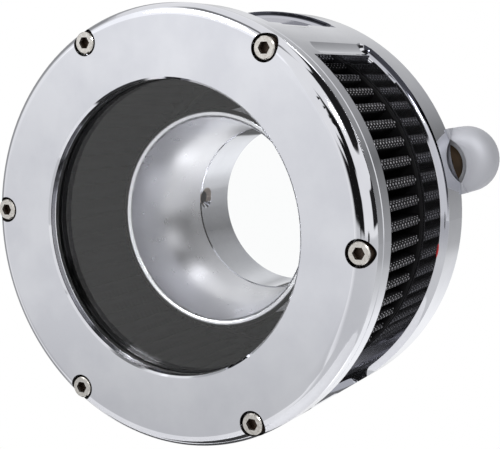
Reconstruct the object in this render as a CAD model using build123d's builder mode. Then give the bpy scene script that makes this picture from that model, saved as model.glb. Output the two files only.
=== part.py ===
from build123d import *
import math
import os

os.makedirs("parts", exist_ok=True)

# Round see-through intake air cleaner, millimetres, +Z up.
# Origin: centre of the throttle face at the back of the neck. The axis of the
# round body is Y and its front face looks along -Y. Depths are measured from
# the front face backwards, and station() turns a depth into Y.

# Overall body
outer_r = 80.0
neck_length = 13.0
plate_thick = 17.0
floor_depth = 69.0
ring_thick = 8.8
rim_depth = 6.3
wall_thick = 4.0
rim_width = 9.0
edge_break = 0.4

# Front ring
ring_width = 26.6
opening_chamfer = 0.7
ring_round = 4.4

# Clear lens and the flat seal behind it
lens_seat_depth = 5.2
lens_overlap = 3.9
lens_thick = 2.5
lens_side_gap = 0.2
lens_break = 0.3
seal_width = 3.0

# Cover screws, let into the rounded edge of the front ring
screw_count = 6
screw_in_from_side = 5.0
screw_first_deg = 58.0
screw_head_r = 3.96
screw_head_height = 4.8
screw_head_break = 0.35
screw_head_rise = 0.1
screw_shank_r = 2.4
screw_length = 9.0
screw_hex = 4.0
screw_hex_depth = 2.6
screw_bore_r = 4.9
screw_hole_gap = 0.1
screw_hole_spare = 0.5

# Side windows, the lands between them and the groove behind them
window_count = 3
land_half_deg = 7.5
groove_ball_r = 5.2
groove_out = 1.7
groove_back = 2.8
groove_start_in_deg = 4.5
groove_end_past_deg = 2.5
start_scoop_ball_r = 10.0
start_scoop_sink = 0.4
start_scoop_in_deg = 0.0
start_scoop_front = 11.0
start_scoop_run = 17.0
end_scoop_ball_r = 8.0
end_scoop_sink = 0.95
end_scoop_in_deg = 2.7
end_scoop_front = 8.5
end_scoop_run = 38.0

# Neck, throat and throttle screw holes
neck_r = 56.0
neck_round = 1.5
bore_r = 33.2
bore_chamfer = 0.8
throttle_hole_count = 3
throttle_hole_r = 3.3
throttle_pitch_r = 48.0
throttle_first_deg = 90.0
throttle_head_r = 5.4
throttle_head_depth = 7.0
throttle_seal_inner = 36.6
seal_section = 1.6
seal_side_gap = 0.1
seal_rise = 0.3

# Breather standoffs on the back, one each side
standoff_deg = (15.7, 176.7)
standoff_r = 13.0
standoff_flank = 10.0
standoff_round = 6.5
chamber_in_from_side = 7.2
chamber_r = 8.9
chamber_mouth_r = 11.0
chamber_mouth_depth = 2.0
chamber_cone_deg = 37.0
grommet_bore_r = 4.0
grommet_front_in = 1.0
grommet_back_in = 1.0
grommet_break = 0.6
passage_r = 2.55
passage_depth = 80.3
passage_sink_r = 4.5
passage_sink_deg = 45.0
passage_sink_in = 0.3

# Velocity stack
lip_r = 42.3
lip_bead_r = 1.8
lip_depth = 34.7
stack_throat_r = 33.4
stack_wall = 2.2
lip_flare_deg = 17.6
stack_flange_r = 42.2
stack_flange_thick = 3.0
spigot_r = 36.0
spigot_length = 6.8
spigot_gap = 0.1
stack_seal_from = 2.4

# Screws that hold the stack down to the floor
stack_screw_count = 3
stack_screw_first_deg = 30.0
stack_screw_at = 39.2
stack_screw_r = 1.5
stack_screw_head_r = 2.7
stack_screw_head_height = 3.0
stack_screw_length = 10.0
stack_screw_hex = 2.5
stack_screw_hex_depth = 1.6

# Pleated filter with its end caps
pleat_count = 57
pleat_first_deg = 0.4
filter_gap = 0.4
cap_over_pleats = 0.6
pleat_height = 13.5
pleat_crest_r = 2.2
pleat_valley_r = 0.7
pleat_sheet = 1.1
cap_inside_pleats = 2.5
cap_break = 0.6
front_cap_thick = 3.5
rear_cap_thick = 2.5

# Depths and radii worked out from the sizes above
opening_r = outer_r - ring_width
lens_r = opening_r + lens_overlap
screw_pitch_r = outer_r - screw_in_from_side
standoff_outer_at = outer_r
standoff_inner_at = outer_r - standoff_flank
chamber_at = outer_r - chamber_in_from_side
plate_back = floor_depth + plate_thick
total_depth = plate_back + neck_length
rim_back = ring_thick + rim_depth
rim_inner_r = outer_r - rim_width
wall_inner_r = outer_r - wall_thick
cap_outer_r = rim_inner_r - filter_gap
pleat_outer_r = cap_outer_r - cap_over_pleats
pleat_inner_r = pleat_outer_r - pleat_height
cap_inner_r = pleat_inner_r - cap_inside_pleats
joint_depth = floor_depth + spigot_length
groove_depth = floor_depth - groove_back
lens_back = lens_seat_depth + lens_thick
window_pitch_deg = 360 / window_count
window_deg = window_pitch_deg - 2 * land_half_deg
window_starts = [screw_first_deg + land_half_deg + n * window_pitch_deg for n in range(window_count)]
media_front = ring_thick + front_cap_thick
media_back = floor_depth - rear_cap_thick
groove_width = seal_section + 2 * seal_side_gap
groove_sink = seal_section - seal_rise


def station(depth):
    """Y of a depth behind the front face."""
    return depth - total_depth


def face_plane(depth):
    """Plane square to the axis at a depth, looking out to the front."""
    return Plane(origin=(0, station(depth), 0), x_dir=(1, 0, 0), z_dir=(0, -1, 0))


def half_plane(degrees):
    """Plane through the axis: its x runs out along an angle and its y along +Y."""
    turn = math.radians(degrees)
    return Plane(
        origin=(0, 0, 0),
        x_dir=(math.cos(turn), 0, math.sin(turn)),
        z_dir=(-math.sin(turn), 0, math.cos(turn)),
    )


def polar(radius, degrees):
    """Point of a face plane at a radius and an angle, 0 degrees to the right."""
    turn = math.radians(degrees)
    return (radius * math.cos(turn), radius * math.sin(turn))


def place(radius, degrees, depth):
    """The same point in space, at a depth."""
    across, up = polar(radius, degrees)
    return (across, station(depth), up)


def radial_plane(radius, degrees, depth):
    """Plane square to a radius, looking outwards."""
    across, up = polar(1, degrees)
    return Plane(origin=place(radius, degrees, depth), x_dir=(0, 1, 0), z_dir=(across, 0, up))


def ring_face(inner, outer):
    """Flat ring between two radii, for a sketch."""
    Circle(outer)
    Circle(inner, mode=Mode.SUBTRACT)


def annular_sector(inner, outer, start_deg, span_deg):
    """Face between two radii and two angles, for a sketch on a face plane."""
    end_deg = start_deg + span_deg
    middle_deg = start_deg + span_deg / 2
    with BuildLine() as outline:
        Line(polar(inner, start_deg), polar(outer, start_deg))
        ThreePointArc(polar(outer, start_deg), polar(outer, middle_deg), polar(outer, end_deg))
        Line(polar(outer, end_deg), polar(inner, end_deg))
        ThreePointArc(polar(inner, end_deg), polar(inner, middle_deg), polar(inner, start_deg))
    make_face(outline.edges())


def socket_screw(name, at, head_depth, sizes):
    """Socket head cap screw with its head towards the front.

    at is its point of a face plane, head_depth the depth of the head's top.
    sizes is head radius, head height, shank radius, shank length, hex across
    flats, hex depth and the break on the head's edge.
    """
    head_r, head_height, shank_r, shank_length, hex_flats, hex_depth, head_break = sizes
    with BuildPart() as screw:
        with BuildSketch(face_plane(head_depth + head_height)):
            with Locations(at):
                Circle(head_r)
        extrude(amount=head_height)
        chamfer(screw.edges().group_by(Axis.Y)[0], length=head_break)
        with BuildSketch(face_plane(head_depth + head_height)):
            with Locations(at):
                Circle(shank_r)
        extrude(amount=-shank_length)
        chamfer(screw.edges().group_by(Axis.Y)[-1], length=head_break)
        with BuildSketch(face_plane(head_depth)):
            with Locations(at):
                RegularPolygon(hex_flats / 2, 6, major_radius=False)
        extrude(amount=-hex_depth, mode=Mode.SUBTRACT)
    finish(screw, name)


def flat_ring(name, inner, outer, front_depth, thickness):
    """Plain ring about the body's axis."""
    with BuildPart() as ring:
        with BuildSketch(face_plane(front_depth + thickness)):
            ring_face(inner, outer)
        extrude(amount=thickness)
    finish(ring, name)


def bend(start, middle, end, rounded):
    """Round bend through three points, or a plain fold through the same points."""
    if rounded:
        ThreePointArc(start, middle, end)
    else:
        Polyline(start, middle, end)


def pleat_outline(crest_r, valley_r, outside):
    """Closed line of all pleats: crests, valleys and the walls tangent to both.

    The outside face has round crests, the inside face round valleys. The other
    bends lie deep in the folds and stay plain.
    """
    pitch_deg = 360 / pleat_count
    crest_at = pleat_outer_r - pleat_crest_r
    valley_at = pleat_inner_r + pleat_sheet + pleat_valley_r
    with BuildLine() as outline:
        for number in range(pleat_count):
            crest_deg = pleat_first_deg + number * pitch_deg
            crest = Vector(*polar(crest_at, crest_deg))
            wall_ends = []
            for side in (-1, 1):
                valley = Vector(*polar(valley_at, crest_deg + side * pitch_deg / 2))
                across = valley - crest
                lean_deg = math.degrees(math.acos((crest_r + valley_r) / across.length))
                normal = across.normalized().rotate(Axis.Z, -side * lean_deg)
                wall_ends.append((crest + normal * crest_r, valley - normal * valley_r))
            (left_crest, left_valley), (right_crest, right_valley) = wall_ends
            Line(left_valley, left_crest)
            bend(left_crest, crest + Vector(*polar(crest_r, crest_deg)), right_crest, outside)
            Line(right_crest, right_valley)
            next_deg = crest_deg + pitch_deg / 2
            valley = Vector(*polar(valley_at, next_deg))
            next_start = left_valley.rotate(Axis.Z, pitch_deg)
            bend(right_valley, valley - Vector(*polar(valley_r, next_deg)), next_start, not outside)
    return outline.edges()


def finish(piece, name):
    """Name a finished piece and write its file."""
    piece.part.label = name
    export_step(piece.part, f"parts/{name}.step")


# Housing: drum with windows, back plate, neck and standoffs in one piece
with BuildPart() as housing:
    with BuildSketch(half_plane(0)):
        with BuildLine():
            Polyline(
                (rim_inner_r, station(ring_thick)),
                (outer_r - edge_break, station(ring_thick)),
                (outer_r, station(ring_thick + edge_break)),
                (outer_r, station(plate_back - edge_break)),
                (outer_r - edge_break, station(plate_back)),
                (neck_r, station(plate_back)),
                (neck_r, station(total_depth - neck_round)),
                (neck_r - neck_round, station(total_depth)),
                (bore_r + bore_chamfer, station(total_depth)),
                (bore_r, station(total_depth - bore_chamfer)),
                (bore_r, station(joint_depth + bore_chamfer)),
                (bore_r + bore_chamfer, station(joint_depth)),
                (spigot_r + spigot_gap, station(joint_depth)),
                (spigot_r + spigot_gap, station(floor_depth)),
                (wall_inner_r, station(floor_depth)),
                (wall_inner_r, station(rim_back)),
                (rim_inner_r, station(rim_back)),
                close=True,
            )
        make_face()
    revolve(axis=Axis.Y)

    # Standoffs: rounded slots on the back, whose domed outer ends reach past the rim
    for angle in standoff_deg:
        with BuildSketch(face_plane(total_depth)):
            with Locations(polar(standoff_inner_at, angle)):
                Circle(standoff_r)
            with Locations(polar((standoff_outer_at + standoff_inner_at) / 2, angle)):
                Rectangle(standoff_outer_at - standoff_inner_at, 2 * standoff_r, rotation=angle)
        extrude(amount=neck_length)
        with BuildSketch(half_plane(angle)):
            with BuildLine():
                nose_start = (standoff_outer_at + standoff_r - standoff_round, station(plate_back))
                nose_end = (standoff_outer_at + standoff_r, station(plate_back + standoff_round))
                Line((standoff_outer_at, station(plate_back)), nose_start)
                RadiusArc(nose_start, nose_end, -standoff_round)
                Polyline(
                    nose_end,
                    (standoff_outer_at + standoff_r, station(total_depth)),
                    (standoff_outer_at, station(total_depth)),
                    (standoff_outer_at, station(plate_back)),
                )
            make_face()
        revolve(axis=Axis(place(standoff_outer_at, angle, total_depth), (0, 1, 0)))

    # Windows, cut from the rim to the floor
    for start in window_starts:
        with BuildSketch(face_plane(floor_depth)):
            annular_sector(rim_inner_r, outer_r + wall_thick, start, window_deg)
        extrude(amount=floor_depth - rim_back, mode=Mode.SUBTRACT)

    # Groove along the back edge of each window, run on into one land, with round ends
    for start in window_starts:
        groove_start = start + groove_start_in_deg
        groove_deg = window_deg + groove_end_past_deg - groove_start_in_deg
        with BuildSketch(half_plane(groove_start)):
            with Locations((outer_r + groove_out, station(groove_depth))):
                Circle(groove_ball_r)
        revolve(axis=Axis.Y, revolution_arc=-groove_deg, mode=Mode.SUBTRACT)
        with Locations(
            place(outer_r + groove_out, groove_start, groove_depth),
            place(outer_r + groove_out, groove_start + groove_deg, groove_depth),
        ):
            Sphere(groove_ball_r, mode=Mode.SUBTRACT)

    # Hollow scoops along both edges of each land: a short one on the window's first edge,
    # and a long one beside its last edge
    for start in window_starts:
        first = (start - start_scoop_in_deg, start_scoop_ball_r, start_scoop_sink, start_scoop_front, start_scoop_run)
        last_deg = start + window_deg + end_scoop_in_deg
        last = (last_deg, end_scoop_ball_r, end_scoop_sink, end_scoop_front, end_scoop_run)
        for angle, ball_r, sink, behind_rim, run in (first, last):
            scoop_at = outer_r + ball_r - sink
            scoop_start = rim_back + behind_rim
            with BuildSketch(face_plane(scoop_start + run)):
                with Locations(polar(scoop_at, angle)):
                    Circle(ball_r)
            extrude(amount=run, mode=Mode.SUBTRACT)
            with Locations(
                place(scoop_at, angle, scoop_start),
                place(scoop_at, angle, scoop_start + run),
            ):
                Sphere(ball_r, mode=Mode.SUBTRACT)

    # Breather chambers: bore, wide mouth and the cutter's cone that breaks out at the rim
    cone_length = chamber_mouth_r / math.tan(math.radians(chamber_cone_deg))
    for angle in standoff_deg:
        with BuildSketch(half_plane(angle)):
            with BuildLine():
                Polyline(
                    (chamber_at, station(total_depth)),
                    (chamber_at + chamber_r, station(total_depth)),
                    (chamber_at + chamber_r, station(plate_back + chamber_mouth_depth)),
                    (chamber_at + chamber_mouth_r, station(plate_back + chamber_mouth_depth)),
                    (chamber_at + chamber_mouth_r, station(plate_back)),
                    (chamber_at, station(plate_back - cone_length)),
                    close=True,
                )
            make_face()
        chamber_axis = Axis(place(chamber_at, angle, total_depth), (0, 1, 0))
        revolve(axis=chamber_axis, mode=Mode.SUBTRACT)
        with BuildSketch(radial_plane(bore_r - passage_r, angle, passage_depth)):
            Circle(passage_r)
        extrude(amount=chamber_at - bore_r, mode=Mode.SUBTRACT)
        with BuildSketch(radial_plane(bore_r - passage_sink_in, angle, passage_depth)):
            Circle(passage_sink_r)
        extrude(amount=passage_sink_r - passage_r, taper=passage_sink_deg, mode=Mode.SUBTRACT)

    # Throttle screw holes, counterbored into the floor
    with Locations(face_plane(floor_depth)):
        with PolarLocations(throttle_pitch_r, throttle_hole_count, start_angle=throttle_first_deg):
            CounterBoreHole(throttle_hole_r, throttle_head_r, throttle_head_depth)

    # Blind tapped holes for the cover screws and the stack screws
    cover_hole = screw_head_height - screw_head_rise + screw_length + screw_hole_spare - ring_thick
    with BuildSketch(face_plane(ring_thick)):
        with PolarLocations(screw_pitch_r, screw_count, start_angle=screw_first_deg):
            Circle(screw_shank_r + screw_hole_gap)
    extrude(amount=-cover_hole, mode=Mode.SUBTRACT)
    stack_hole = stack_screw_length - stack_flange_thick + screw_hole_spare
    with BuildSketch(face_plane(floor_depth)):
        with PolarLocations(stack_screw_at, stack_screw_count, start_angle=stack_screw_first_deg):
            Circle(stack_screw_r + screw_hole_gap)
    extrude(amount=-stack_hole, mode=Mode.SUBTRACT)

    # Seal groove round the throat
    with BuildSketch(face_plane(total_depth)):
        ring_face(throttle_seal_inner, throttle_seal_inner + groove_width)
    extrude(amount=groove_sink, mode=Mode.SUBTRACT)

finish(housing, "housing")


# Front ring: rounded outer edge, counterbores that break into it, and the lens seat
with BuildPart() as front_ring:
    with BuildSketch(half_plane(0)):
        with BuildLine():
            round_start = (outer_r - ring_round, station(0))
            round_end = (outer_r, station(ring_round))
            Line((opening_r + opening_chamfer, station(0)), round_start)
            RadiusArc(round_start, round_end, -ring_round)
            Polyline(
                round_end,
                (outer_r, station(ring_thick - edge_break)),
                (outer_r - edge_break, station(ring_thick)),
                (lens_r + lens_side_gap, station(ring_thick)),
                (lens_r + lens_side_gap, station(lens_seat_depth)),
                (opening_r, station(lens_seat_depth)),
                (opening_r, station(opening_chamfer)),
                (opening_r + opening_chamfer, station(0)),
            )
        make_face()
    revolve(axis=Axis.Y)
    with Locations(face_plane(0)):
        with PolarLocations(screw_pitch_r, screw_count, start_angle=screw_first_deg):
            CounterBoreHole(screw_shank_r + screw_hole_gap, screw_bore_r, screw_head_height - screw_head_rise)
finish(front_ring, "front_ring")

# Lens and the flat seal that presses it into its seat
with BuildPart() as lens:
    with BuildSketch(face_plane(lens_back)):
        Circle(lens_r)
    extrude(amount=lens_thick)
    chamfer(lens.edges().filter_by(GeomType.CIRCLE), length=lens_break)
finish(lens, "lens")
flat_ring("lens_seal", lens_r - seal_width, lens_r, lens_back, ring_thick - lens_back)

# Cover screws
cover_screw_sizes = (
    screw_head_r,
    screw_head_height,
    screw_shank_r,
    screw_length,
    screw_hex,
    screw_hex_depth,
    screw_head_break,
)
for number in range(screw_count):
    spot = polar(screw_pitch_r, screw_first_deg + number * 360 / screw_count)
    socket_screw(f"cover_screw_{number + 1}", spot, -screw_head_rise, cover_screw_sizes)

# Velocity stack: flared bell with a rolled lip, a base flange and a spigot
with BuildPart() as velocity_stack:
    with BuildSketch(half_plane(0)):
        bead_centre = Vector(lip_r - lip_bead_r, station(lip_depth))
        flare = Vector(0, -1).rotate(Axis.Z, lip_flare_deg)
        towards_air = flare.rotate(Axis.Z, 90) * -1
        lip_inner = bead_centre + towards_air * lip_bead_r
        lip_outer = lip_inner - towards_air * stack_wall
        bell_base = (stack_throat_r, station(floor_depth))
        bell_foot = (stack_throat_r + stack_wall, station(floor_depth - stack_flange_thick))
        with BuildLine():
            TangentArc(bell_base, lip_inner, tangent=(0, -1))
            Line(lip_inner, lip_outer)
            TangentArc(bell_foot, lip_outer, tangent=(0, -1))
            Polyline(
                bell_foot,
                (stack_flange_r, station(floor_depth - stack_flange_thick)),
                (stack_flange_r, station(floor_depth)),
                (spigot_r, station(floor_depth)),
                (spigot_r, station(joint_depth)),
                (stack_throat_r, station(joint_depth)),
                bell_base,
            )
        make_face()
        with Locations(bead_centre):
            Circle(lip_bead_r)
    revolve(axis=Axis.Y)
    with BuildSketch(face_plane(floor_depth + stack_seal_from + groove_width)):
        ring_face(spigot_r + spigot_gap - seal_section, spigot_r + spigot_gap)
    extrude(amount=groove_width, mode=Mode.SUBTRACT)
    with BuildSketch(face_plane(floor_depth)):
        with PolarLocations(stack_screw_at, stack_screw_count, start_angle=stack_screw_first_deg):
            Circle(stack_screw_r + screw_hole_gap)
    extrude(amount=stack_flange_thick, mode=Mode.SUBTRACT)
finish(velocity_stack, "velocity_stack")
flat_ring(
    "stack_seal",
    spigot_r + spigot_gap - seal_section,
    spigot_r + spigot_gap,
    floor_depth + stack_seal_from + seal_side_gap,
    seal_section,
)

# Screws that hold the stack to the floor
stack_screw_sizes = (
    stack_screw_head_r,
    stack_screw_head_height,
    stack_screw_r,
    stack_screw_length,
    stack_screw_hex,
    stack_screw_hex_depth,
    screw_head_break,
)
for number in range(stack_screw_count):
    spot = polar(stack_screw_at, stack_screw_first_deg + number * 360 / stack_screw_count)
    top = floor_depth - stack_flange_thick - stack_screw_head_height
    socket_screw(f"stack_screw_{number + 1}", spot, top, stack_screw_sizes)

# Filter: one pleated sheet between two moulded end caps
with BuildPart() as filter_media:
    with BuildSketch(face_plane(media_back)):
        make_face(pleat_outline(pleat_crest_r, pleat_valley_r, True))
        inner_face = pleat_outline(pleat_crest_r - pleat_sheet, pleat_valley_r + pleat_sheet, False)
        make_face(inner_face, mode=Mode.SUBTRACT)
    extrude(amount=media_back - media_front)
finish(filter_media, "filter_media")

for cap_name, cap_front, cap_thick in (
    ("filter_front_cap", ring_thick, front_cap_thick),
    ("filter_rear_cap", media_back, rear_cap_thick),
):
    with BuildPart() as cap:
        with BuildSketch(face_plane(cap_front + cap_thick)):
            ring_face(cap_inner_r, cap_outer_r)
        extrude(amount=cap_thick)
        chamfer(cap.edges().filter_by(GeomType.CIRCLE), length=cap_break)
    finish(cap, cap_name)

# Square seal in the rear groove round the throat
flat_ring(
    "throttle_seal",
    throttle_seal_inner + seal_side_gap,
    throttle_seal_inner + seal_side_gap + seal_section,
    total_depth - groove_sink,
    seal_section,
)

# Rubber grommets pressed into the breather chambers from behind
grommet_back = total_depth - grommet_back_in
grommet_front = plate_back + chamber_mouth_depth + grommet_front_in
for number, angle in enumerate(standoff_deg):
    with BuildPart() as grommet:
        with BuildSketch(face_plane(grommet_back)):
            with Locations(polar(chamber_at, angle)):
                ring_face(grommet_bore_r, chamber_r)
        extrude(amount=grommet_back - grommet_front)
        bore_mouths = grommet.edges().filter_by(GeomType.CIRCLE).sort_by(SortBy.RADIUS)[:2]
        chamfer(bore_mouths, length=grommet_break)
    finish(grommet, f"breather_grommet_{number + 1}")
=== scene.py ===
import math

import bpy
import numpy as np
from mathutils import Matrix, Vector


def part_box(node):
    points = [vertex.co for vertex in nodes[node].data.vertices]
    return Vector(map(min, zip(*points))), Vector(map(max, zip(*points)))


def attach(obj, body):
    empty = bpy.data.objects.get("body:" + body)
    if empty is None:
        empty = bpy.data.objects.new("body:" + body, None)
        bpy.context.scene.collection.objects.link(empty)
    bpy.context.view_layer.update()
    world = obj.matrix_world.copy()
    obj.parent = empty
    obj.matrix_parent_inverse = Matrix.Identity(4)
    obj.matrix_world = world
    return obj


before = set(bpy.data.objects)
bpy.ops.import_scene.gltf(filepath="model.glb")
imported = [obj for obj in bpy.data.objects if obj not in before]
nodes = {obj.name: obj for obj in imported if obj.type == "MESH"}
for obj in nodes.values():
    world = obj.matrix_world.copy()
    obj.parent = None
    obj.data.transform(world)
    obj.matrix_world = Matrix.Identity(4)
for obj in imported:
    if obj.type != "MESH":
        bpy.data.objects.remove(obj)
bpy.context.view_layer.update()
scene = bpy.context.scene
print("frame loaded")

mm = 0.001
degree = math.radians(1)
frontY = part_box("front_ring")[0].y  # Y of the front face, from which depths are counted


def toLinear(channel):
    # sRGB to linear light, by the standard curve
    if channel <= 0.04045:
        return channel / 12.92
    return ((channel + 0.055) / 1.055) ** 2.4


def hexColour(code):
    # A colour written as RRGGBB, each channel turned linear
    channels = [int(code[start:start + 2], 16) / 255 for start in (0, 2, 4)]
    return tuple(toLinear(channel) for channel in channels) + (1.0,)


def feed(tree, node, inputs):
    # Gives each input its number or colour, or a link from a socket or from a node's first output
    for key, value in inputs.items():
        if isinstance(value, bpy.types.Node):
            value = value.outputs[0]
        if isinstance(value, bpy.types.NodeSocket):
            tree.links.new(value, node.inputs[key])
        else:
            node.inputs[key].default_value = value


def addNode(tree, kind, inputs=None, stops=(), **settings):
    # Adds a shader node with its settings, its inputs and, on a colour ramp, its stops
    node = tree.nodes.new("ShaderNode" + kind)
    for key, value in settings.items():
        setattr(node, key, value)
    feed(tree, node, inputs or {})
    if stops:
        while len(node.color_ramp.elements) < len(stops):
            node.color_ramp.elements.new(0.5)
        for element, (position, colour) in zip(node.color_ramp.elements, stops):
            element.position = position
            element.color = colour
    return node


def emptyMaterial(name):
    # A material without nodes, and its tree
    material = bpy.data.materials.new(name)
    material.use_nodes = True
    material.node_tree.nodes.clear()
    return material, material.node_tree


def newMaterial(name):
    # A material with its output, its Principled shader and object coordinates
    material, tree = emptyMaterial(name)
    shader = addNode(tree, "BsdfPrincipled")
    addNode(tree, "OutputMaterial", {"Surface": shader})
    place = addNode(tree, "TexCoord").outputs["Object"]
    return material, tree, shader, place


def hypotenuse(tree, first, second):
    # Root of the sum of two squares
    square = addNode(tree, "Math", {0: first, 1: first}, operation="MULTIPLY")
    total = addNode(tree, "Math", {0: second, 1: second, 2: square}, operation="MULTIPLY_ADD")
    return addNode(tree, "Math", {0: total}, operation="SQRT")


def roundPlaces(tree, place):
    # Radius and angle round the axis Y, and Y itself
    x, y, z = addNode(tree, "SeparateXYZ", {"Vector": place}).outputs
    angle = addNode(tree, "Math", {0: z, 1: x}, operation="ARCTAN2")
    return hypotenuse(tree, x, z), angle, y


# A zone is a part of a surface that looks different, and its limits say where it lies. The next functions are
# what a limit can measure: each gives a value, and the unit in which the limit's numbers are written.
def radiusOut(tree, places, zone):
    # Distance from the axis Y
    return places[0], mm


def angleRound(tree, places, zone):
    # Angle round the axis Y, counted from +X towards +Z
    return places[1], degree


def alongY(tree, places, zone):
    # Y itself
    return places[2], mm


def depthIn(tree, places, zone):
    # Y less that of the front face
    return addNode(tree, "Math", {0: places[2], 1: frontY}, operation="SUBTRACT"), mm


def fromAxis(tree, places, zone):
    # Distance from an axis along Y. Aside it is the turn times the radius, and outwards it is the radius less
    # the axis's own.
    radius, angle = places[:2]
    turned = addNode(tree, "Math", {0: angle, 1: zone["atDeg"] * degree}, operation="SUBTRACT")
    aside = addNode(tree, "Math", {0: turned, 1: radius}, operation="MULTIPLY")
    outwards = addNode(tree, "Math", {0: radius, 1: zone["atMm"] * mm}, operation="SUBTRACT")
    return hypotenuse(tree, aside, outwards), mm


def fromDrilling(tree, places, zone):
    # Distance from a radial axis. Aside it is the turn times the radius, and along Y it is Y less the
    # axis's own.
    radius, angle, y = places
    turned = addNode(tree, "Math", {0: angle, 1: zone["atDeg"] * degree}, operation="SUBTRACT")
    aside = addNode(tree, "Math", {0: turned, 1: radius}, operation="MULTIPLY")
    along = addNode(tree, "Math", {0: y, 1: zone["atY"] * mm}, operation="SUBTRACT")
    return hypotenuse(tree, aside, along), mm


def fromScrew(tree, places, zone):
    # Distance from the nearest of a circle of screws. The angle is folded to that screw, and times the
    # circle's radius it is the distance aside.
    radius, angle = places[:2]
    turned = addNode(tree, "Math", {0: angle, 1: zone["firstDeg"] * degree}, operation="SUBTRACT")
    folded = addNode(tree, "Math", {0: turned, 1: math.pi / zone["count"]}, operation="PINGPONG")
    aside = addNode(tree, "Math", {0: folded, 1: zone["circleMm"] * mm}, operation="MULTIPLY")
    outwards = addNode(tree, "Math", {0: radius, 1: zone["circleMm"] * mm}, operation="SUBTRACT")
    return hypotenuse(tree, aside, outwards), mm


def pastEdge(tree, places, zone):
    # Radius less an edge's, which moves smoothly from one value to another over a range of angles
    radius, angle = places[:2]
    fromDeg, toDeg = zone["moveDeg"]
    fromMm, toMm = zone["edgeMm"]
    moves = {
        "Value": angle, "From Min": fromDeg * degree, "From Max": toDeg * degree,
        "To Min": fromMm * mm, "To Max": toMm * mm,
    }
    edge = addNode(tree, "MapRange", moves, interpolation_type="SMOOTHSTEP")
    return addNode(tree, "Math", {0: radius, 1: edge}, operation="SUBTRACT"), mm


def zoneShare(tree, places, zone):
    # The product of a smooth step for each limit. A limit is what it measures, the measure where the zone
    # counts for nothing and the measure where it counts in full. Steps of 0.01 mm stand for sharp borders.
    share = 1.0
    for measure, nothing, full in zone["limits"]:
        value, unit = measure(tree, places, zone)
        limits = {"Value": value, "From Min": nothing * unit, "From Max": full * unit}
        step = addNode(tree, "MapRange", limits, interpolation_type="SMOOTHSTEP")
        share = addNode(tree, "Math", {0: share, 1: step}, operation="MULTIPLY")
    return share


def rollOff(tree, places, look):
    # Polishing wheels round a face off before its edge. The slope grows evenly from the first radius to the
    # second and fades out at the third, so the height is two parabolas that meet there.
    radius = places[0]
    first, second, third = (value * mm for value in look["radiiMm"])
    rise = addNode(tree, "MapRange", {"Value": radius, "From Min": first, "From Max": second})
    fall = addNode(tree, "MapRange", {"Value": radius, "From Min": second, "From Max": third})
    riseSquared = addNode(tree, "Math", {0: rise, 1: rise}, operation="MULTIPLY")
    fallSquared = addNode(tree, "Math", {0: fall, 1: fall}, operation="MULTIPLY")
    eased = addNode(tree, "Math", {0: fallSquared, 1: -0.5, 2: fall}, operation="MULTIPLY_ADD")
    riseHeight = -look["slope"] * (second - first) / 2
    fallHeight = -look["slope"] * (third - second)
    before = addNode(tree, "Math", {0: riseSquared, 1: riseHeight}, operation="MULTIPLY")
    both = addNode(tree, "Math", {0: eased, 1: fallHeight, 2: before}, operation="MULTIPLY_ADD")
    height = addNode(tree, "Math", {0: both, 1: zoneShare(tree, places, look)}, operation="MULTIPLY")
    return addNode(tree, "Bump", {"Height": height, "Distance": 1.0, "Strength": 1.0})


def roughnessFrom(tree, noise, look):
    # Noise, which lies between about 0.3 and 0.7, is spread from the look's low roughness to its high one
    spread = {"From Min": 0.3, "From Max": 0.7, "To Min": look["roughLow"], "To Max": look["roughHigh"]}
    return addNode(tree, "MapRange", dict(spread, Value=noise))


def makeSurface(look):
    # One noise shades the colour, one the roughness, and one is the height of a shallow bump. Each is a lump
    # size in millimetres and a detail. Each zone then mixes its own colour, roughness and metal over them.
    material, tree, shader, place = newMaterial(look["name"])
    places = roundPlaces(tree, place)
    noises = {}
    for key in ("tintNoise", "roughNoise", "bumpNoise"):
        if key in look:
            sizeMm, detail = look[key]
            lumps = {"Vector": place, "Scale": 1 / (sizeMm * mm), "Detail": detail}
            noises[key] = addNode(tree, "TexNoise", lumps)
    stops = list(zip(look["tintFrom"], (hexColour(code) for code in look["tints"])))
    tint = addNode(tree, "ValToRGB", {"Fac": noises["tintNoise"]}, stops)
    rough = roughnessFrom(tree, noises["roughNoise"], look)
    metal = look["metal"]
    for zone in look["zones"]:
        share = zoneShare(tree, places, zone)
        tints = {0: share, 6: tint, 7: hexColour(zone["tint"])}
        tint = addNode(tree, "Mix", tints, data_type="RGBA").outputs[2]
        rough = addNode(tree, "Mix", {0: share, 2: rough, 3: zone["rough"]})
        metal = addNode(tree, "Mix", {0: share, 2: metal, 3: zone["metal"]})
    feed(tree, shader, {"Base Color": tint, "Roughness": rough, "Metallic": metal})
    if "bumpNoise" in look:
        relief = {"Height": noises["bumpNoise"], "Distance": look["bumpMm"] * mm, "Strength": look["bump"]}
        bump = addNode(tree, "Bump", relief)
        feed(tree, shader, {"Normal": bump})
        if "rollOff" in look:
            feed(tree, bump, {"Normal": rollOff(tree, places, look["rollOff"])})
    if "turned" in look:
        tangent = addNode(tree, "Tangent", direction_type="RADIAL", axis="Y")
        feed(tree, shader, {"Tangent": tangent, "Anisotropic": look["turned"]})
    if "shine" in look:
        feed(tree, shader, {"Specular IOR Level": look["shine"]})
    return material


# Bright chrome plating over buffed aluminium: nearly a mirror, whose faint buffing waves bend the reflections
chromeLook = dict(
    tints=("D6D7DD", "DEDFE4"), tintFrom=(0.35, 0.65), tintNoise=(18.0, 4.0),
    roughLow=0.03, roughHigh=0.06, roughNoise=(3.0, 5.0),
    bump=0.12, bumpMm=0.004, bumpNoise=(9.0, 1.0), metal=1.0, zones=(),
)

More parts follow.
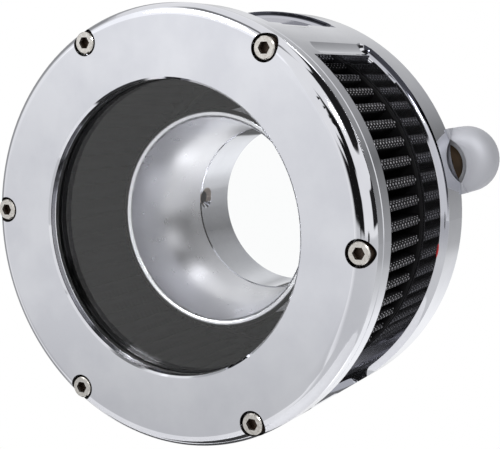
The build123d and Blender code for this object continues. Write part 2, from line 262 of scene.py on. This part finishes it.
# Housing: bead-blasted standoffs behind the plate, and the breather cutter's dull cone beside the shown one,
# tinted tan as a painted reflection of the brown light bounced inside its recess
satin = dict(limits=((alongY, -13.4, -13.1), (radiusOut, 56.5, 57.5)), tint="ABACB2", rough=0.6, metal=0.45)
coneDepths = ((alongY, -27.41, -27.4), (alongY, -12.8, -12.81))
coneWarmReflection = dict(
    limits=((fromAxis, 11.6, 11.59), (radiusOut, 79.7, 79.69)) + coneDepths,
    atDeg=15.7, atMm=72.8, tint="B7A488", rough=0.34, metal=1.0,
)
# The drilling in the throat: a pale sink round a hole painted dark as the shade inside it
throatWall = ((radiusOut, 33.22, 33.26), (radiusOut, 48.0, 47.99))
sink = dict(
    limits=((fromDrilling, 4.7, 4.69),) + throatWall,
    atDeg=176.7, atY=-18.7, tint="A79A90", rough=0.5, metal=0.4,
)
holeShade = dict(sink, limits=((fromDrilling, 2.7, 2.69),) + throatWall, tint="17120E", metal=0.0)
# The wall of the windows' groove: a grey painted reflection, with a dark line of painted reflection along its
# outer edge
grooveWall = ((radiusOut, 79.95, 79.94), (alongY, -29.86, -29.85), (alongY, -27.2, -27.21))
greyGrooveReflection = dict(
    limits=grooveWall + ((radiusOut, 77.0, 77.1), (angleRound, -12, -2)),
    tint="BBBCC4", rough=0.08, metal=1.0,
)
darkGrooveReflection = dict(
    limits=grooveWall + ((pastEdge, 0.0, 0.35), (angleRound, 0, 8)),
    edgeMm=(79.2, 78.1), moveDeg=(26, 34), tint="3E3F46", rough=0.08, metal=1.0,
)
# The floor behind the windows: a duller mirror of the pleats
floorDepths = ((alongY, -30.1, -30.09), (alongY, -29.9, -29.91))
dullFloor = dict(
    limits=((radiusOut, 70.0, 70.1), (radiusOut, 79.95, 79.94)) + floorDepths,
    tint="B0B0B6", rough=0.065, metal=0.985,
)
housingLook = dict(
    chromeLook, name="chromeHousing", zones=(satin, coneWarmReflection, sink, holeShade, greyGrooveReflection, darkGrooveReflection, dullFloor),
)


def boreBand(fromMm, toMm, borderMm=0.05):
    # Limits of a band in the ring's bore, inside its radius and between two depths with soft borders
    begins = (depthIn, fromMm - borderMm, fromMm + borderMm)
    ends = (depthIn, toMm + borderMm, toMm - borderMm)
    return (radiusOut, 54.2, 54.19), begins, ends


# Ring: counterbores painted dark as the shade inside them, a thin dark line and a grey band of painted
# reflection in the bore, a black band of painted shadow at the seat of the lens, and the rolled-off edge of
# the face, which fades out over two ranges of angles
# Painted shade in the screws' counterbores
counterboreShade = dict(
    limits=((fromScrew, 4.93, 4.92), (alongY, -98.9, -98.7)),
    firstDeg=58.0, count=6, circleMm=75.0, tint="15110E", rough=0.5, metal=0.0,
)
# Painted reflections in the bore, and a painted shadow at the seat of the lens
thinReflectionLine = dict(limits=boreBand(0.75, 1.1), tint="1B1A1C", rough=0.1, metal=1.0)
greyReflectionBand = dict(limits=boreBand(1.1, 3.1), tint="8C8C92", rough=0.1, metal=1.0)
blackShadowBand = dict(limits=boreBand(3.5, 5.4), tint="08080A", rough=0.4, metal=0.0)
faceEdge = dict(
    limits=((alongY, -94.6, -94.61), (angleRound, -45, -15), (angleRound, 60, 36)),
    radiiMm=(72.8, 75.6, 79.9), slope=0.22,
)
ringLook = dict(
    chromeLook, name="chromeRing", bumpMm=0.003,
    zones=(counterboreShade, thinReflectionLine, greyReflectionBand, blackShadowBand), rollOff=faceEdge,
)

# Bare aluminium of the stack, polished on the lathe: a softer mirror whose highlights are drawn out
stackLook = dict(
    chromeLook, name="polishedAluminium", tints=("DCDCE2", "E8E8EC"), tintNoise=(30.0, 4.0),
    roughLow=0.27, roughHigh=0.30, roughNoise=(5.0, 5.0), turned=0.6,
    bump=0.1, bumpMm=0.002, bumpNoise=(22.0, 1.0),
)

# Turned stainless steel of the screws: clean, finely grained heads, their sockets painted dark brown as shade
socketShade = dict(limits=((alongY, -98.6, -98.0),), tint="3A2E24", rough=0.4, metal=0.6)
screwLook = dict(
    name="stainlessSteel", tints=("BDB8B1", "D2CFCA"), tintFrom=(0.3, 0.6), tintNoise=(0.8, 4.0),
    roughLow=0.16, roughHigh=0.26, roughNoise=(0.8, 4.0),
    bump=0.1, bumpMm=0.004, bumpNoise=(0.8, 4.0), metal=1.0, zones=(socketShade,),
)

# Black moulded rubber and urethane: dull, with a fine grain from the mould. The grommets have aged brown.
rubberLook = dict(
    name="mouldedRubber", tints=("050506", "0B0B0D"), tintFrom=(0.35, 0.65), tintNoise=(12.0, 3.0),
    roughLow=0.62, roughHigh=0.8, roughNoise=(12.0, 3.0), shine=0.12,
    bump=0.3, bumpMm=0.03, bumpNoise=(0.5, 4.0), metal=0.0, zones=(),
)
grommetLook = dict(rubberLook, name="agedRubber", tints=("33281D", "4A3A2A"), shine=0.3)

# Clear cast acrylic of the lens, with a polish that varies a little. Its index is below acrylic's 1.49, so
# that it mirrors as little as the real lens.
lensLook = dict(name="clearAcrylic", tint="FBFCFC", ior=1.41, polishMm=30.0, roughLow=0.0, roughHigh=0.006)


def makeLens(look):
    # A clear solid whose roughness follows a wide noise
    material, tree, shader, place = newMaterial(look["name"])
    polish = addNode(tree, "TexNoise", {"Vector": place, "Scale": 1 / (look["polishMm"] * mm), "Detail": 2.0})
    feed(tree, shader, {
        "Base Color": hexColour(look["tint"]), "Transmission Weight": 1.0, "IOR": look["ior"],
        "Roughness": roughnessFrom(tree, polish, look),
    })
    return material


# Woven cloth of black coated wire over the pleats: nearly black, with painted highlights on the crests'
# knuckles.
# The real weave of about 1.4 mm is too fine to show in the render, so it is drawn as coarse as it needs to
# show.
clothLook = dict(
    name="coatedWireCloth", wire="0E0E10", paintedGlint="B4B4BA", gap="020203", inside="020203",
    alongMm=2.7, acrossMm=2.2, deepFrom=(0.55, 0.85), brightFrom=(0.80, 0.92), wearAndGlint=0.3, wearAndGlintMm=2.2,
    roughLow=0.45, roughHigh=0.6, shine=0.12, bump=0.6, bumpMm=0.10,
    pleats=57, firstCrestDeg=0.4, crestMm=70.0, paintedGlintMm=(69.0, 69.4),
)


def outerSide(tree, place, angle, pleats):
    # 1 on the sheet's outer side, 0 on its inner one. The normal's radial part, plus its part round the axis
    # away from the nearest crest, is positive on the outer side only.
    normal = addNode(tree, "TexCoord").outputs["Normal"]
    placeParts = addNode(tree, "SeparateXYZ", {"Vector": place}).outputs
    normalParts = addNode(tree, "SeparateXYZ", {"Vector": normal}).outputs
    x, z = placeParts["X"], placeParts["Z"]
    normalX, normalZ = normalParts["X"], normalParts["Z"]
    radialX = addNode(tree, "Math", {0: normalX, 1: x}, operation="MULTIPLY")
    radial = addNode(tree, "Math", {0: normalZ, 1: z, 2: radialX}, operation="MULTIPLY_ADD")
    roundX = addNode(tree, "Math", {0: normalZ, 1: x}, operation="MULTIPLY")
    roundZ = addNode(tree, "Math", {0: normalX, 1: z}, operation="MULTIPLY")
    across = addNode(tree, "Math", {0: roundX, 1: roundZ}, operation="SUBTRACT")
    turns = addNode(tree, "Math", {0: angle, 1: pleats}, operation="MULTIPLY")
    wave = addNode(tree, "Math", {0: turns}, operation="SINE")
    side = addNode(tree, "Math", {0: wave}, operation="SIGN")
    total = addNode(tree, "Math", {0: across, 1: side, 2: radial}, operation="MULTIPLY_ADD")
    return addNode(tree, "Math", {0: total, 1: 0.0}, operation="GREATER_THAN")


def makeCloth(look):
    # One wave runs along Y and one across the folded sheet. Across the sheet the length is the radius less
    # the arc from the nearest crest, which grows along the crest's round and along the pleat's walls alike.
    # The product of both waves stands for the knuckles of a plain weave. Only those near a crest get a
    # painted highlight, spread unevenly by a noise.
    material, tree, shader, place = newMaterial(look["name"])
    radius, turned, y = roundPlaces(tree, place)
    angle = addNode(tree, "Math", {0: turned, 1: look["firstCrestDeg"] * degree}, operation="SUBTRACT")
    fromCrest = addNode(tree, "Math", {0: angle, 1: math.pi / look["pleats"]}, operation="PINGPONG")
    lessArc = {0: fromCrest, 1: -look["crestMm"] * mm, 2: radius}
    across = addNode(tree, "Math", lessArc, operation="MULTIPLY_ADD")
    waves = []
    for length, periodMm in ((y, look["alongMm"]), (across, look["acrossMm"])):
        phase = addNode(tree, "Math", {0: length, 1: 2 * math.pi / (periodMm * mm)}, operation="MULTIPLY")
        waves.append(addNode(tree, "Math", {0: phase}, operation="SINE"))
    both = addNode(tree, "Math", {0: waves[0], 1: waves[1]}, operation="MULTIPLY")
    knuckle = addNode(tree, "Math", {0: both, 1: 0.5, 2: 0.5}, operation="MULTIPLY_ADD")
    wearAndGlint = addNode(tree, "TexNoise", {"Vector": place, "Scale": 1 / (look["wearAndGlintMm"] * mm), "Detail": 3.0})
    lowered = addNode(tree, "Math", {0: knuckle, 1: look["wearAndGlint"] / 2}, operation="SUBTRACT")
    uneven = addNode(tree, "Math", {0: wearAndGlint, 1: look["wearAndGlint"], 2: lowered}, operation="MULTIPLY_ADD")
    gap, wire, paintedGlint, inside = (hexColour(look[key]) for key in ("gap", "wire", "paintedGlint", "inside"))
    deep = addNode(tree, "ValToRGB", {"Fac": knuckle}, list(zip(look["deepFrom"], (gap, wire))))
    # Painted highlight: knuckles near a crest are painted bright where they would glint
    bright = addNode(tree, "ValToRGB", {"Fac": uneven}, list(zip(look["brightFrom"], (gap, paintedGlint))))
    glintFrom, glintTo = (value * mm for value in look["paintedGlintMm"])
    limits = {"Value": radius, "From Min": glintFrom, "From Max": glintTo}
    nearCrest = addNode(tree, "MapRange", limits, interpolation_type="SMOOTHSTEP")
    outside = addNode(tree, "Mix", {0: nearCrest, 6: deep, 7: bright}, data_type="RGBA").outputs[2]
    outer = outerSide(tree, place, angle, look["pleats"])
    relief = {"Height": knuckle, "Distance": look["bumpMm"] * mm, "Strength": look["bump"]}
    feed(tree, shader, {
        "Base Color": addNode(tree, "Mix", {0: outer, 6: inside, 7: outside}, data_type="RGBA").outputs[2],
        "Specular IOR Level": addNode(tree, "Math", {0: outer, 1: look["shine"]}, operation="MULTIPLY"),
        "Roughness": roughnessFrom(tree, wearAndGlint, look),
        "Normal": addNode(tree, "Bump", relief),
    })
    return material


stainless = makeSurface(screwLook)
rubber = makeSurface(rubberLook)
materialOf = {
    "housing": makeSurface(housingLook),
    "front_ring": makeSurface(ringLook),
    "velocity_stack": makeSurface(stackLook),
    "lens": makeLens(lensLook),
    "filter_media": makeCloth(clothLook),
    "cover_screw": stainless,
    "stack_screw": stainless,
    "breather_grommet": makeSurface(grommetLook),
    "lens_seal": rubber,
    "stack_seal": rubber,
    "throttle_seal": rubber,
    "filter_front_cap": rubber,
    "filter_rear_cap": rubber,
}
print("materials made")

for name, piece in nodes.items():
    piece.data.materials.clear()
    piece.data.materials.append(materialOf[name.rstrip("_0123456789")])
print("materials given")


def addObject(name, points, faces):
    # An object at the origin, from an array of its points and a list of its faces
    mesh = bpy.data.meshes.new(name)
    mesh.from_pydata(points.reshape(-1, 3).tolist(), [], faces)
    made = bpy.data.objects.new(name, mesh)
    scene.collection.objects.link(made)
    return made


def gridFaces(ids):
    # The quads between the rows and columns of a grid of points
    corners = np.stack((ids[:-1, :-1], ids[:-1, 1:], ids[1:, 1:], ids[1:, :-1]), -1)
    return corners.reshape(-1, 4).tolist()


# Bead of red silicone sealant, smoothed off by hand, that shows at the filter's rear edge: half glossy
beadLook = dict(
    fromDeg=-6.2, toDeg=-10.2, atMm=77.3, depthMm=68.75, halfMm=0.42, leastShare=0.01, along=28, around=10,
    name="redSealant", tints=("B3141A", "8E0E12"), tintFrom=(0.3, 0.7), tintNoise=(0.7, 3.0),
    roughLow=0.3, roughHigh=0.5, roughNoise=(0.7, 3.0), metal=0.0, zones=(),
)


def makeBead(look):
    # A bent thin tube whose half thickness follows the root of a half sine, so both ends run out. It is wound
    # from a full turn back to none, so that its faces point outwards.
    along, around = look["along"], look["around"]
    share = np.linspace(0, 1, along)[:, None]
    angle = np.radians(look["fromDeg"] + (look["toDeg"] - look["fromDeg"]) * share)
    turn = np.linspace(2 * math.pi, 0, around, endpoint=False)[None, :]
    inner = np.clip(share, look["leastShare"], 1 - look["leastShare"])
    half = look["halfMm"] * np.sqrt(np.sin(math.pi * inner))
    radius = (look["atMm"] + half * np.cos(turn)) * mm
    y = frontY + (look["depthMm"] + half * np.sin(turn)) * mm
    points = np.stack((radius * np.cos(angle), y, radius * np.sin(angle)), -1)
    ids = np.arange(along * around).reshape(along, around)
    sides = gridFaces(np.hstack((ids, ids[:, :1])))
    bead = addObject("sealantBead", points, sides + [ids[0].tolist(), ids[-1][::-1].tolist()])
    bead.data.shade_smooth()
    bead.data.materials.append(makeSurface(look))
    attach(bead, "root")


makeBead(beadLook)
print("bead made")

# Studio: a pale floor, white surroundings, and curved cards that only polished surfaces mirror. Azimuth is
# counted from the front towards +X and elevation upwards, in degrees. A flag is a dark card.
middle = np.array((0, -0.05, 0))
cardLook = dict(soft=0.08, away=0.9, steps=24, glow=(0.985, 0.99, 1.0, 1))


def direction(azimuth, elevation):
    # At azimuth a and elevation e it is sin a cos e, less cos a cos e, sin e
    az, el = np.radians(azimuth), np.radians(elevation)
    return np.stack((np.sin(az) * np.cos(el), -np.cos(az) * np.cos(el), np.sin(el)), -1)


def cardGlow(look):
    # Brightness is a ramp across times a ramp upwards, and the card fades out over its soft border
    material, tree = emptyMaterial(look["name"] + "Glow")
    places = addNode(tree, "SeparateXYZ", {"Vector": addNode(tree, "UVMap", uv_map="span")}).outputs
    level = 1.0
    shown = 1.0
    for place, ends, levels in zip(places, (look["az"], look["el"]), (look["across"], look["upwards"])):
        low, high = ends
        stops = [((degrees - low) / (high - low), (bright, bright, bright, 1)) for degrees, bright in levels]
        ramp = addNode(tree, "ValToRGB", {"Fac": place}, stops)
        level = addNode(tree, "Math", {0: level, 1: ramp}, operation="MULTIPLY")
        fromEdge = addNode(tree, "Math", {0: place, 1: 0.5}, operation="PINGPONG")
        limits = {"Value": fromEdge, "From Min": 0.0, "From Max": look["soft"]}
        ease = addNode(tree, "MapRange", limits, interpolation_type="SMOOTHSTEP")
        shown = addNode(tree, "Math", {0: shown, 1: ease}, operation="MULTIPLY")
    glow = addNode(tree, "Emission", {"Color": look["glow"], "Strength": level})
    mix = addNode(tree, "MixShader", {0: shown, 1: addNode(tree, "BsdfTransparent"), 2: glow})
    addNode(tree, "OutputMaterial", {"Surface": mix})
    return material


def makeCard(look):
    # Part of a sphere round the object. It shows in metal and gloss, and neither to the camera nor as light.
    steps = look["steps"]
    azimuths, elevations = np.meshgrid(np.linspace(*look["az"], steps), np.linspace(*look["el"], steps))
    points = direction(azimuths, elevations) * look["away"] + middle
    card = addObject(look["name"], points, gridFaces(np.arange(steps * steps).reshape(steps, steps)))
    span = np.stack(np.meshgrid(np.linspace(0, 1, steps), np.linspace(0, 1, steps)), -1).reshape(-1, 2)
    corners = np.zeros(len(card.data.loops), np.int32)
    card.data.loops.foreach_get("vertex_index", corners)
    layer = card.data.uv_layers.new(name="span")
    layer.data.foreach_set("uv", span[corners].astype(np.float32).ravel())
    card.data.materials.append(cardGlow(look))
    card.visible_camera = False
    card.visible_diffuse = False
    card.visible_transmission = False
    card.visible_shadow = False
    card.visible_volume_scatter = False


def evenCard(name, az, el, bright, **settings):
    # The look of a card of one brightness all over
    across = [(degrees, bright) for degrees in az]
    upwards = [(degrees, 1.0) for degrees in el]
    return dict(cardLook, name=name, az=az, el=el, across=across, upwards=upwards, **settings)


cards = (
    # The lights in front, and a dim one above
    dict(
        cardLook, name="cardFace", az=(-60, -13), el=(-28, 13), soft=0.05,
        across=((-60, 0.96), (-42, 0.93), (-32, 1.0), (-13, 0.97)),
        upwards=(
            (-28, 0.66), (-20, 0.70), (-17, 0.78), (-12, 0.91),
            (-6, 0.93), (0, 0.97), (5, 1.05), (13, 1.1),
        ),
    ),
    evenCard("cardKey", (-62, -8), (13, 54), 1.32, away=0.93),
    evenCard("cardTop", (-70, 50), (55, 68), 0.24, soft=0.2),
    # Black stretches in front, to the right of the lights
    evenCard("flagFrontLow", (-9, 36), (-6, 6), 0.01, soft=0.12),
    evenCard("flagFrontMiddle", (3, 34), (2, 15), 0.01, soft=0.12, away=0.89),
    evenCard("flagFrontHigh", (14, 38), (11, 31), 0.01, soft=0.12, away=0.88),
    evenCard("flagSide", (52, 61), (-10, -3), 0.02, soft=0.15, away=0.88),
    # Right side and below
    evenCard("cardSideLow", (-12, 152), (-40, -4), 0.72, soft=0.06, away=0.91),
    evenCard("flagSideLevel", (90, 152), (-3, 13), 0.02, soft=0.12),
    evenCard("flagBelow", (-75, 0), (-88, -56), 0.05, soft=0.1, away=0.6),
    evenCard("flagRight", (62, 160), (26, 60), 0.015, soft=0.06),
    evenCard("flagRightBack", (138, 149), (-8, 27), 0.03, soft=0.2),
    # Behind the object
    dict(
        cardLook, name="cardBackHigh", az=(146, 217), el=(-22, 37), soft=0.03,
        across=(
            (146, 0.27), (154, 0.31), (160, 0.34), (170, 0.50),
            (180, 0.60), (190, 0.70), (200, 0.84), (217, 0.92),
        ),
        upwards=(
            (-22, 1.7), (-8, 1.45), (2, 1.0), (13, 0.66),
            (19, 0.93), (24, 0.98), (30, 0.82), (37, 0.8),
        ),
    ),
    dict(
        cardLook, name="cardBackLow", az=(143, 218), el=(-42, -12), soft=0.14, away=0.88,
        across=((143, 0.6), (156, 0.86), (163, 1.1), (177, 1.12), (190, 1.02), (202, 0.86), (218, 0.9)),
        upwards=((-42, 1.0), (-26, 1.0), (-20, 0.84), (-12, 0.70)),
    ),
    evenCard("cardStackHigh", (156, 176), (35, 52), 2.2, soft=0.3, away=0.84),
    evenCard("cardStackLow", (150, 178), (-50, -33), 1.7, soft=0.3, away=0.84),
    # Left side
    dict(
        cardLook, name="cardLeft", az=(-142, -70), el=(-40, 45),
        across=((-142, 0.42), (-118, 0.44), (-100, 0.33), (-84, 0.42), (-70, 0.7)),
        upwards=((-40, 1.0), (45, 1.0)),
    ),
    evenCard("flagLowLeft", (-175, -88), (-82, -44), 0.08, soft=0.1, away=0.6),
    evenCard("flagBackLeft", (-163, -138), (-22, 4), 0.08, soft=0.12, away=0.86),
)
for look in cards:
    makeCard(look)

floorLook = dict(size=8.0, z=-0.62, albedo="F6F6F7", fadeFrom=0.3, fadeTo=1.1)


def makeFloor(look):
    # Pale floor that turns into the white surroundings over a range of distances from the object
    half, z = look["size"] / 2, look["z"]
    points = np.array(((-half, -half, z), (half, -half, z), (half, half, z), (-half, half, z)))
    floor = addObject("floor", points, [(0, 1, 2, 3)])
    material, tree = emptyMaterial("paleFloor")
    place = addNode(tree, "TexCoord").outputs["Object"]
    flatPlace = addNode(tree, "VectorMath", {0: place, 1: (1, 1, 0)}, operation="MULTIPLY")
    reach = addNode(tree, "VectorMath", {0: flatPlace}, operation="LENGTH").outputs["Value"]
    limits = {"Value": reach, "From Min": look["fadeFrom"], "From Max": look["fadeTo"]}
    fade = addNode(tree, "MapRange", limits, interpolation_type="SMOOTHSTEP")
    pale = addNode(tree, "BsdfDiffuse", {"Color": hexColour(look["albedo"])})
    white = addNode(tree, "Emission", {"Color": (1, 1, 1, 1), "Strength": 1.0})
    mix = addNode(tree, "MixShader", {0: fade, 1: pale, 2: white})
    addNode(tree, "OutputMaterial", {"Surface": mix})
    floor.data.materials.append(material)


makeFloor(floorLook)

# White surroundings: in full where they are seen, also in metal and through the lens, and lower as light
worldLook = dict(seen=1.0, light=0.75)
world = bpy.data.worlds.new("studio")
scene.world = world
world.use_nodes = True
tree = world.node_tree
tree.nodes.clear()
rays = addNode(tree, "LightPath").outputs
direct = addNode(tree, "Math", {0: rays["Is Camera Ray"], 1: rays["Is Glossy Ray"]}, operation="MAXIMUM")
seen = addNode(tree, "Math", {0: direct, 1: rays["Is Transmission Ray"]}, operation="MAXIMUM")
lit = addNode(tree, "Background", {"Color": (1, 1, 1, 1), "Strength": worldLook["light"]})
shown = addNode(tree, "Background", {"Color": (1, 1, 1, 1), "Strength": worldLook["seen"]})
mix = addNode(tree, "MixShader", {0: seen, 1: lit, 2: shown})
addNode(tree, "OutputWorld", {"Surface": mix})
print("studio built")

lamps = (
    dict(name="keyLeft", azimuth=-28, elevation=36, away=0.9, size=0.42, power=5.0),
    dict(name="sideRight", azimuth=48, elevation=36, away=0.9, size=0.16, power=3.0),
)
for look in lamps:
    # A round area lamp that faces the object
    data = bpy.data.lights.new(look["name"], "AREA")
    data.shape = "DISK"
    data.size = look["size"]
    data.energy = look["power"]
    lamp = bpy.data.objects.new(look["name"], data)
    away = direction(look["azimuth"], look["elevation"]) * look["away"]
    lamp.location = middle + away
    lamp.rotation_euler = Vector(-away).to_track_quat("-Z", "Y").to_euler()
    scene.collection.objects.link(lamp)
print("lamps set")

# Camera at the photograph's place
cameraLook = dict(
    place=(0.21997, -0.42118, 0.05483), target=(0.03448, -0.099, 0.00417),
    lens=79.31, sensor=36.0, nearest=0.01,
)
cameraData = bpy.data.cameras.new("camera")
cameraData.sensor_width = cameraLook["sensor"]
cameraData.lens = cameraLook["lens"]
cameraData.clip_start = cameraLook["nearest"]
camera = bpy.data.objects.new("camera", cameraData)
camera.location = cameraLook["place"]
towards = Vector(cameraLook["target"]) - camera.location
camera.rotation_euler = towards.to_track_quat("-Z", "Y").to_euler()
scene.collection.objects.link(camera)
scene.camera = camera
scene.view_settings.view_transform = "Standard"
print("camera set")
